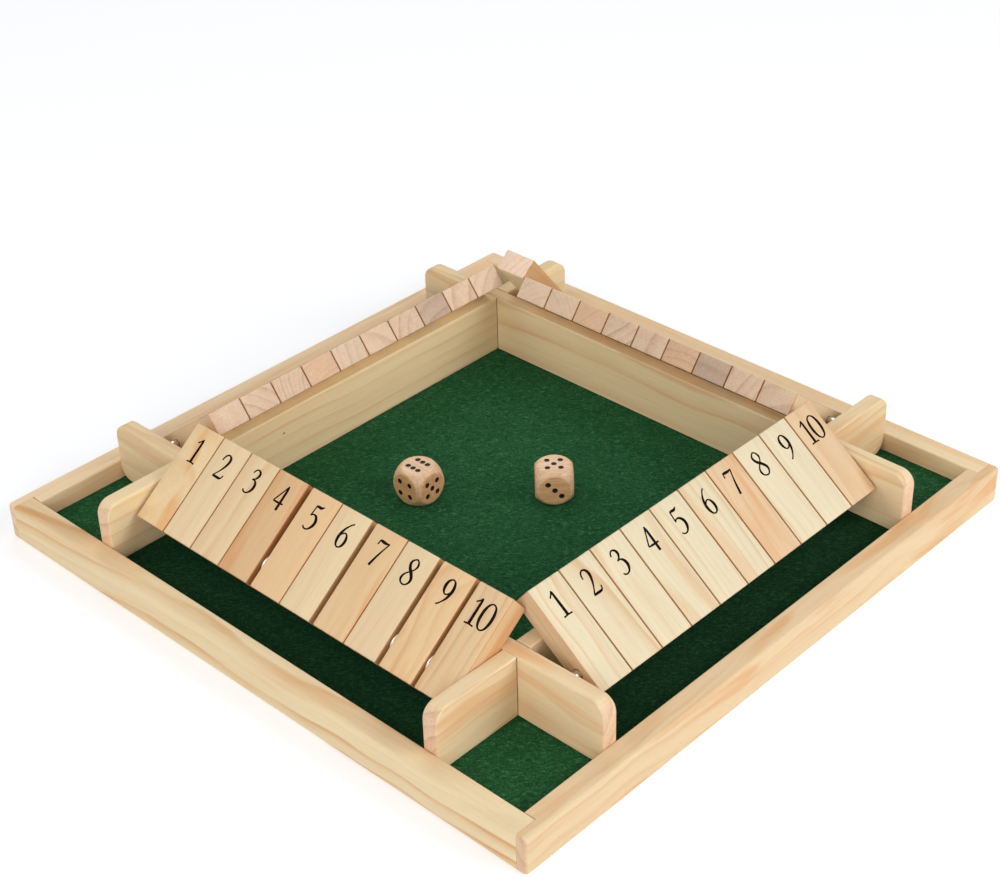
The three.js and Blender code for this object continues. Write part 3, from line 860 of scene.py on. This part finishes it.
DIAGONAL = dict(tone=(1.0, 0.97, 0.92), contrast=0.7, amber=0.9, spacing=5.0, slope=0.3)


def ringed(spacing, turn, contrast=0.9, base=PLAIN):
    """A cut whose sawn end shows plain year rings at the given turn."""
    return {**base, "contrast": contrast, "spacing": spacing, "turn": turn}


CUTS = {
    "front": (CREAM, STREAKY, CREAM, CREAM, STREAKY, CREAM, ROSY, CREAM, PALE, ROSY),
    "right": (ringed(9.0, 0.5, 0.5), ringed(4.0, 1.3), {**GREY, "spacing": 9.0},
              ringed(3.0, 0.1, 0.5, BLUSH), ringed(9.0, 1.5, 0.7), ringed(3.6, 0.8, 1.0), BLUSH, PLAIN,
              PLAIN, PALEST),
    "back": (ringed(4.5, 0.7, 0.6, PALE), ringed(8.0, 1.2, 0.6), {**GREY, "turn": 0.2},
             ringed(3.6, 1.0, 1.0), ringed(9.0, -0.7, 0.6), ringed(4.0, 1.4, 0.4, PALE), BLUSH,
             ringed(2.6, 1.25, 1.0), ringed(6.0, -0.8, 0.6), ringed(9.0, 1.5, 0.7)),
    "left": (DIAGONAL, STREAKY, STREAKY, AMBER, BLUSH, PALE, SWIRL, PALE, SWIRL, TAN),
}
BANK_TINT = {
    "front": (0.96, 1.01, 1.06), "right": (1.03, 1.03, 1.04),
    "back": (1.01, 1.01, 1.02), "left": (1.02, 0.96, 0.89)}


# ---- operators


class BoardOperator(bpy.types.Operator):
    """Shared by the operators that make the board's pieces"""
    bl_options = {"REGISTER", "UNDO"}

    def execute(self, context):
        self.make(context.scene)
        return {"FINISHED"}

    def boards(self, part, pine, material, cuts, upright):
        """Eases the four boards of one kind and lays each one's own grain on it."""
        for index, side in enumerate(SIDES):
            node = f"{side}_{part}"
            piece = eased_piece(node, pine.eased, material)
            face = AXES[1 - index % 2] if upright else UP
            grain = Grain(SEEDS[part] + index, AXES[index % 2], face, **cuts[side])
            grain.lay_on(piece.data, middle_and_half(node)[0])
            settle(piece, BODY, node)


class SHUTBOX_OT_rails(BoardOperator):
    """Makes the four rails of the tray"""
    bl_idname = "shutbox.rails"
    bl_label = "Rails"

    def make(self, scene):
        pine = scene.shut_box_pine
        self.boards("rail", pine, pine_material("rail_pine", pine), RAIL_CUTS, upright=False)


# A small resin speck on the inner side of the back wall board: its x and z, and its size
SPECK_X, SPECK_Z, SPECK_SIZE = -43.4 * MM, 25.5 * MM, 0.9 * MM


class SHUTBOX_OT_walls(BoardOperator):
    """Makes the four wall boards that cross in the corners"""
    bl_idname = "shutbox.walls"
    bl_label = "Wall boards"

    def make(self, scene):
        pine = scene.shut_box_pine
        speck = (Vector((SPECK_X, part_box("back_wall")[0].y, SPECK_Z)), SPECK_SIZE)
        crossings = [-corner.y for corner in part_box("front_wall")]
        material = pine_material("wall_pine", pine, [speck], crossings)
        self.boards("wall", pine, material, WALL_CUTS, upright=True)


class SHUTBOX_OT_base(BoardOperator):
    """Gives the base board its plywood"""
    bl_idname = "shutbox.base"
    bl_label = "Base board"

    def make(self, scene):
        mesh = frame["nodes"]["base_board"].data
        mesh.materials.clear()
        mesh.materials.append(plywood_material("base_ply", scene.shut_box_pine))


class SHUTBOX_OT_tiles(BoardOperator):
    """Makes the forty bored tiles"""
    bl_idname = "shutbox.tiles"
    bl_label = "Tiles"

    def make(self, scene):
        tiles = scene.shut_box_tiles
        material = pine_material("tile_pine", scene.shut_box_pine)
        bore = middle_and_half("front_rod")[1].z + BORE_PLAY
        for count, (side, index, place) in enumerate(tile_places()):
            name = place.node + "_pine"
            mesh = tile_mesh(place, tiles.edge, bore, name)
            smooth(mesh, 40.0)
            grain = Grain(SEEDS["tile"] + count, place.along, place.face, **CUTS[side][index])
            grain.tone = [a * b for a, b in zip(grain.tone, BANK_TINT[side])]
            grain.lay_on(mesh, place.pivot)
            place.wear(mesh, {0: -1, 9: 1}.get(index, 0))
            settle(new_piece(name, mesh, material), place.node, place.node)


# Degrees that a figure may lean to either side
FIGURE_LEAN = 1.5
FIGURE_SEED = 5


class SHUTBOX_OT_figures(BoardOperator):
    """Prints the numbers on the tiles"""
    bl_idname = "shutbox.figures"
    bl_label = "Figures"

    def make(self, scene):
        tiles = scene.shut_box_tiles
        wander = tiles.figure_wander
        material = ink_material("figure_ink", tiles)
        draw = random.Random(FIGURE_SEED)
        for _, index, place in tile_places():
            name = place.node + "_figure"
            mesh = figure_mesh(name, str(index + 1), tiles)
            spot = Vector((
                (place.low.x + place.high.x) / 2 + draw.uniform(-wander, wander),
                place.high.y - tiles.figure_inset + draw.uniform(-wander, wander),
                place.high.z))
            lean = Matrix.Rotation(math.radians(draw.uniform(-FIGURE_LEAN, FIGURE_LEAN)), 4, "Z")
            mesh.transform(place.matrix @ Matrix.Translation(spot) @ lean)
            Grain(index, place.along, place.face).lay_on(mesh, place.pivot)
            settle(new_piece(name, mesh, material), place.node)


WASHER_PLAY = 0.05 * MM


class SHUTBOX_OT_rods(BoardOperator):
    """Makes the four steel rods and the washers on them"""
    bl_idname = "shutbox.rods"
    bl_label = "Rods and washers"

    def make(self, scene):
        rods = scene.shut_box_rods
        steel = steel_material("rod_steel", rods.steel)
        zinc = steel_material("washer_zinc", rods.zinc, metallic=0.35)
        cut, edge = rods.chamfer, rods.washer_edge
        for index, side in enumerate(SIDES):
            size = middle_and_half(side + "_rod")[1]
            half, radius = size[index % 2], size.z
            profile = ((half, radius - cut), (half - cut, radius))
            grain = Grain(index, AXES[index % 2], UP)
            self.turned(side + "_rod", profile, grain, rods.sides, steel, 35.0)
        for node in sorted(name for name in frame["nodes"] if "_washer_" in name):
            side = node.split("_")[0]
            size = middle_and_half(node)[1]
            half, outer = size[SIDES.index(side) % 2], size.z
            inner = middle_and_half(side + "_rod")[1].z + WASHER_PLAY
            profile = ((half, inner), (half, outer - edge), (half - edge / 3, outer - edge / 3),
                       (half - edge, outer))
            self.turned(node, profile, Grain(5, UP, AXES[0]), rods.sides, zinc, 50.0, hollow=True)

    def turned(self, node, profile, grain, sides, material, angle, hollow=False):
        """Turns a piece from the half of its profile that lies at positive x."""
        whole = [(-x, radius) for x, radius in profile] + list(reversed(profile))
        mesh = turned_mesh(node + "_steel", whole, sides, hollow)
        if SIDES.index(node.split("_")[0]) % 2:
            mesh.transform(Matrix.Rotation(math.pi / 2, 4, "Z"))
        centre = middle_and_half(node)[0]
        mesh.transform(Matrix.Translation(centre))
        smooth(mesh, angle)
        grain.lay_on(mesh, centre)
        settle(new_piece(node + "_steel", mesh, material), BODY, node)


CLOTH_STEPS = 96
CLOTH_WAVES = 160.0


def cloth_mesh(name, low, high, waviness):
    """The felt as a closed plate with a softly uneven top."""
    top, flat = [], []
    width = CLOTH_STEPS + 1
    for row in range(width):
        for column in range(width):
            x = low.x + (high.x - low.x) * column / CLOTH_STEPS
            y = low.y + (high.y - low.y) * row / CLOTH_STEPS
            rise = noise.noise(Vector((x, y, 0.0)) * CLOTH_WAVES) * waviness
            top.append((x, y, high.z - waviness + rise))
            if row and column:
                here = row * width + column
                flat.append((here - width - 1, here - width, here, here - 1))
    return plate_mesh(name, top, [(x, y, low.z) for x, y, _ in top], flat)


FIBRE_MARGIN = 0.6 * MM


def fibre_field(name, height):
    """The parts of the felt between the wall boards and the rails, as flat faces."""
    inner, outer = (corner.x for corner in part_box("right_wall"))
    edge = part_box("right_rail")[0].x
    spans = [
        (start + FIBRE_MARGIN, end - FIBRE_MARGIN)
        for start, end in ((-edge, -outer), (-inner, inner), (outer, edge))]
    vertices = []
    for left, right in spans:
        for near, far in spans:
            corners = ((left, near), (right, near), (right, far), (left, far))
            vertices += [(x, y, height) for x, y in corners]
    faces = [tuple(range(first, first + 4)) for first in range(0, len(vertices), 4)]
    return mesh_from(name, vertices, faces)


def fibre_tree(inputs, material):
    """Scatters short bent three-sided fibres over a surface, turned and scaled at random."""
    tree = bpy.data.node_groups.new("felt_fibres", "GeometryNodeTree")
    tree.interface.new_socket("Geometry", in_out="INPUT", socket_type="NodeSocketGeometry")
    tree.interface.new_socket("Geometry", in_out="OUTPUT", socket_type="NodeSocketGeometry")
    for name in inputs:
        tree.interface.new_socket(name, in_out="INPUT", socket_type="NodeSocketFloat")
    n = Nodes(tree)
    given = n.node("NodeGroupInput").outputs
    points = n.node("GeometryNodeDistributePointsOnFaces", Mesh=given["Geometry"],
                    Density=given["Density"], Seed=7)
    arc = n.node("GeometryNodeCurvePrimitiveBezierSegment", Resolution=3,
                 Start=(-0.5, 0.0, 0.0), End=(0.5, 0.0, 0.0),
                 Start_Handle=(-0.3, 0.28, 0.02), End_Handle=(0.2, 0.22, 0.03))
    size = n.node("ShaderNodeCombineXYZ", X=given["Length"], Y=given["Length"], Z=given["Length"])
    sized = n.node("GeometryNodeTransform", Geometry=arc.outputs["Curve"], Scale=size.outputs["Vector"])
    profile = n.node("GeometryNodeCurvePrimitiveCircle", Resolution=3, Radius=given["Radius"])
    fibre = n.node("GeometryNodeCurveToMesh", Curve=sized.outputs["Geometry"],
                   Profile_Curve=profile.outputs["Curve"], Fill_Caps=True)
    turn = n.node("FunctionNodeRandomValue", {"data_type": "FLOAT_VECTOR"}, Seed=3)
    n.fill(turn, {0: (-0.06, -0.06, 0.0), 1: (0.06, 0.06, 2 * math.pi)})
    scale = n.node("FunctionNodeRandomValue", {"data_type": "FLOAT"}, Seed=4)
    n.fill(scale, {2: 0.5, 3: 1.2})
    placed = n.node("GeometryNodeInstanceOnPoints", Points=points.outputs["Points"],
                    Instance=fibre.outputs["Mesh"], Rotation=turn.outputs[0], Scale=scale.outputs[1])
    real = n.node("GeometryNodeRealizeInstances", Geometry=placed.outputs["Instances"])
    dyed = n.node("GeometryNodeSetMaterial", Geometry=real.outputs["Geometry"], Material=material)
    n.fill(n.node("NodeGroupOutput"), {0: dyed.outputs["Geometry"]})
    return tree


class SHUTBOX_OT_felt(BoardOperator):
    """Lays the felt and its loose fibres on the base board"""
    bl_idname = "shutbox.felt"
    bl_label = "Felt"

    def make(self, scene):
        felt = scene.shut_box_felt
        low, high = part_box("felt_sheet")
        border = sum(corner.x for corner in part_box("right_wall")) / 2
        mesh = cloth_mesh("felt_cloth", low, high, felt.waviness)
        smooth(mesh, 50.0)
        sheet = new_piece("felt_cloth", mesh, felt_material("green_felt", felt, border))
        settle(sheet, BODY, "felt_sheet")
        self.loose_fibres(felt, high.z, felt_material("felt_fibre", felt, border, loose=True))

    def loose_fibres(self, felt, height, material):
        """Scatters curled loose fibres over the felt by geometry nodes."""
        fibres = new_piece("felt_fibres", fibre_field("felt_fibres", height))
        area = sum(face.area for face in fibres.data.polygons)
        inputs = {
            "Density": felt.fibres / area, "Length": felt.fibre_length, "Radius": felt.fibre_radius}
        tree = fibre_tree(inputs, material)
        given = {
            socket.identifier: inputs[socket.name] for socket in tree.interface.items_tree
            if socket.name in inputs}
        work(fibres, "scatter", "NODES", given, node_group=tree)
        settle(fibres, BODY)


# A die's sides as the ways out and up, and each die's turn and its spots in the same order
DIE_SIDES = (
    ((0, 0, 1), (-1, 0, 0)), ((0, 0, -1), (1, 0, 0)), ((-1, 0, 0), (0, 0, 1)),
    ((1, 0, 0), (0, 0, 1)), ((0, -1, 0), (0, 0, 1)), ((0, 1, 0), (0, 0, 1)))
DICE = {"die_1": (0.0, (6, 1, 4, 3, 5, 2)), "die_2": (45.0, (5, 2, 3, 4, 1, 6))}
CORNERS = [(-1, -1), (-1, 1), (1, -1), (1, 1)]
SPOTS = {
    1: [(0, 0)],
    2: [(-1, 1), (1, -1)],
    3: [(-1, 1), (0, 0), (1, -1)],
    4: CORNERS,
    5: [*CORNERS, (0, 0)],
    6: [*CORNERS, (0, -1), (0, 1)],
}
SPOT_STEP_SHARE = 0.175
DIE_CUTS = 27


def die_block(name, half, ball, blend):
    """A cube cut round by a ball, with a soft change from the one to the other."""
    mesh = bpy.data.meshes.new(name)
    with opened(mesh) as skin:
        bmesh.ops.create_cube(skin, size=2.0)
        bmesh.ops.subdivide_edges(skin, edges=skin.edges, cuts=DIE_CUTS, use_grid_fill=True)
        for vertex in skin.verts:
            way = Vector([math.tan(c * math.pi / 4) for c in vertex.co]).normalized()
            flat = half / max(abs(c) for c in way)
            gap = max(blend - abs(flat - ball), 0.0) / blend
            vertex.co = way * (min(flat, ball) - gap * gap * blend / 4)
    return mesh


def spot_cutter(name, half, counts, dice):
    """Shallow balls that cut a die's spots."""
    radius = (dice.spot ** 2 + dice.spot_depth ** 2) / (2 * dice.spot_depth)
    step = 2 * half * SPOT_STEP_SHARE
    mesh = bpy.data.meshes.new(name)
    with opened(mesh) as skin:
        for (out, up), count in zip(DIE_SIDES, counts):
            out, up = Vector(out), Vector(up)
            right, turn = up.cross(out), out.to_track_quat("Z", "Y").to_matrix().to_4x4()
            for x, y in SPOTS[count]:
                centre = (right * x + up * y) * step + out * (half + radius - dice.spot_depth)
                bmesh.ops.create_uvsphere(
                    skin, u_segments=40, v_segments=24, radius=radius,
                    matrix=Matrix.Translation(centre) @ turn)
    return mesh


class SHUTBOX_OT_dice(BoardOperator):
    """Makes the two dice with their spots"""
    bl_idname = "shutbox.dice"
    bl_label = "Dice"

    def make(self, scene):
        dice = scene.shut_box_dice
        wood = dice_material("dice_wood", dice)
        paint = paint_material("spot_paint", dice)
        for index, (node, (degrees, counts)) in enumerate(DICE.items()):
            centre, size = middle_and_half(node)
            half = size.z
            block = die_block(node + "_wood", half, half * 2 * dice.ball_share, dice.blend)
            piece = new_piece(node + "_wood", block, wood, paint)
            spots = spot_cutter(node + "_spots", half, counts, dice)
            cutter = new_piece(node + "_spots", spots, wood, paint)
            for face in spots.polygons:
                face.material_index = 1
            work(piece, "spots", "BOOLEAN", operation="DIFFERENCE", solver="EXACT", object=cutter,
                 material_mode="TRANSFER")
            bpy.data.objects.remove(cutter)
            smooth(piece.data, 30.0)
            write(piece.data, "side", [
                between(max(abs(face.normal.x), abs(face.normal.y)), 0.98, 1.0)
                for face in piece.data.polygons])
            turn = Matrix.Rotation(math.radians(degrees), 4, "Z")
            piece.data.transform(Matrix.Translation(centre) @ turn)
            Grain(SEEDS["die"] + index, turn @ Vector(AXES[1]), UP).lay_on(piece.data, centre)
            settle(piece, BODY, node)


# ---- stage

PHOTO_WIDTH, PHOTO_HEIGHT = 1000, 878
SENSOR = 36.0
# Where the view axis meets the photograph, in pixels
AXIS_X, AXIS_Y = 516.6, 441.1
LAMPS = {
    "key": (0.6, -1.42, 0.8), "side": (-1.4, -0.7, 0.8),
    "back": (-0.9, 0.9, 1.2), "far": (0.9, 0.9, 1.4)}
LAMP_SIZE = 1.2
LIT_MIDDLE = Vector((0.0, 0.0, 0.02))
FLOOR_REACH = 12.0


def seen_share(n):
    """1 where the camera, a reflection or a refraction looks, 0 for the light itself."""
    path = n.node("ShaderNodeLightPath").outputs
    seen = n.maths("MAXIMUM", path["Is Camera Ray"], path["Is Glossy Ray"])
    return n.maths("MAXIMUM", seen, path["Is Transmission Ray"])


class SHUTBOX_OT_stage(BoardOperator):
    """Sets up the camera, the lights and the floor"""
    bl_idname = "shutbox.stage"
    bl_label = "Stage"

    def make(self, scene):
        stage = scene.shut_box_stage
        self.camera(scene, stage)
        self.world(scene, stage)
        self.floor(stage)
        for name, place in LAMPS.items():
            self.lamp(scene, name + "_lamp", Vector(place), getattr(stage, name + "_power"))
        scene.view_settings.view_transform = "Standard"

    def camera(self, scene, stage):
        flat = math.cos(stage.elevation)
        back = Vector((
            math.sin(stage.azimuth) * flat, -math.cos(stage.azimuth) * flat,
            math.sin(stage.elevation)))
        level = Vector(UP).cross(back).normalized()
        upright = back.cross(level)
        right = level * math.cos(stage.roll) + upright * math.sin(stage.roll)
        up = upright * math.cos(stage.roll) - level * math.sin(stage.roll)
        data = bpy.data.cameras.new("camera")
        data.sensor_width = SENSOR
        data.lens = stage.lens
        data.shift_x = (PHOTO_WIDTH / 2 - AXIS_X) / PHOTO_WIDTH
        data.shift_y = (AXIS_Y - PHOTO_HEIGHT / 2) / PHOTO_WIDTH
        data.clip_start, data.clip_end = 0.01, 50.0
        camera = bpy.data.objects.new("camera", data)
        place = back * stage.distance - right * stage.aside - up * stage.above
        turn = Matrix((right, up, back)).transposed().to_4x4()
        camera.matrix_world = Matrix.Translation(place) @ turn
        scene.collection.objects.link(camera)
        scene.camera = camera

    def world(self, scene, stage):
        scene.world = bpy.data.worlds.new("studio")
        scene.world.use_nodes = True
        n = Nodes(scene.world.node_tree)
        light = n.fill(n.tree.nodes["Background"], {"Color": WHITE, "Strength": stage.ambient})
        paper = n.node("ShaderNodeBackground", Color=WHITE, Strength=1.0)
        mix = n.fill(n.node("ShaderNodeMixShader"), {
            0: seen_share(n), 1: light.outputs[0], 2: paper.outputs[0]})
        n.fill(n.tree.nodes["World Output"], {"Surface": mix.outputs[0]})

    def floor(self, stage):
        s = Shader("floor")
        material = s.finish(
            stage.floor, 0.95, 0.0, Emission_Color=WHITE,
            Emission_Strength=s.times(seen_share(s), stage.floor_lift))
        corners = [(FLOOR_REACH * x, FLOOR_REACH * y, 0.0) for x, y in ((-1, -1), (1, -1), (1, 1), (-1, 1))]
        new_piece("floor", mesh_from("floor", corners, [(0, 1, 2, 3)]), material)

    def lamp(self, scene, name, place, power):
        data = bpy.data.lights.new(name, "AREA")
        data.shape = "SQUARE"
        data.size = LAMP_SIZE
        data.energy = power
        lamp = bpy.data.objects.new(name, data)
        lamp.location = place
        lamp.rotation_euler = (LIT_MIDDLE - place).to_track_quat("-Z", "Y").to_euler()
        scene.collection.objects.link(lamp)


OPERATORS = (
    SHUTBOX_OT_stage, SHUTBOX_OT_base, SHUTBOX_OT_felt, SHUTBOX_OT_rails, SHUTBOX_OT_walls,
    SHUTBOX_OT_rods, SHUTBOX_OT_tiles, SHUTBOX_OT_figures, SHUTBOX_OT_dice)


class SHUTBOX_PT_panel(bpy.types.Panel):
    """Lists the pieces that can be made"""
    bl_idname = "SHUTBOX_PT_panel"
    bl_label = "Shut the box"
    bl_space_type = "VIEW_3D"
    bl_region_type = "UI"
    bl_category = "Shut the box"

    def draw(self, context):
        for operator in OPERATORS:
            self.layout.operator(operator.bl_idname)
        for name, group in SETTINGS.items():
            box = self.layout.box()
            box.label(text=group.__doc__)
            for key in group.__annotations__:
                box.prop(getattr(context.scene, name), key)


def register():
    for name, group in SETTINGS.items():
        bpy.utils.register_class(group)
        setattr(bpy.types.Scene, name, PointerProperty(type=group))
    for made in (*OPERATORS, SHUTBOX_PT_panel):
        bpy.utils.register_class(made)


def unregister():
    for made in (SHUTBOX_PT_panel, *reversed(OPERATORS)):
        bpy.utils.unregister_class(made)
    for name, group in SETTINGS.items():
        delattr(bpy.types.Scene, name)
        bpy.utils.unregister_class(group)


def main():
    register()
    for operator in OPERATORS:
        section, name = operator.bl_idname.split(".")
        getattr(getattr(bpy.ops, section), name)()


if __name__ == "__main__":
    main()
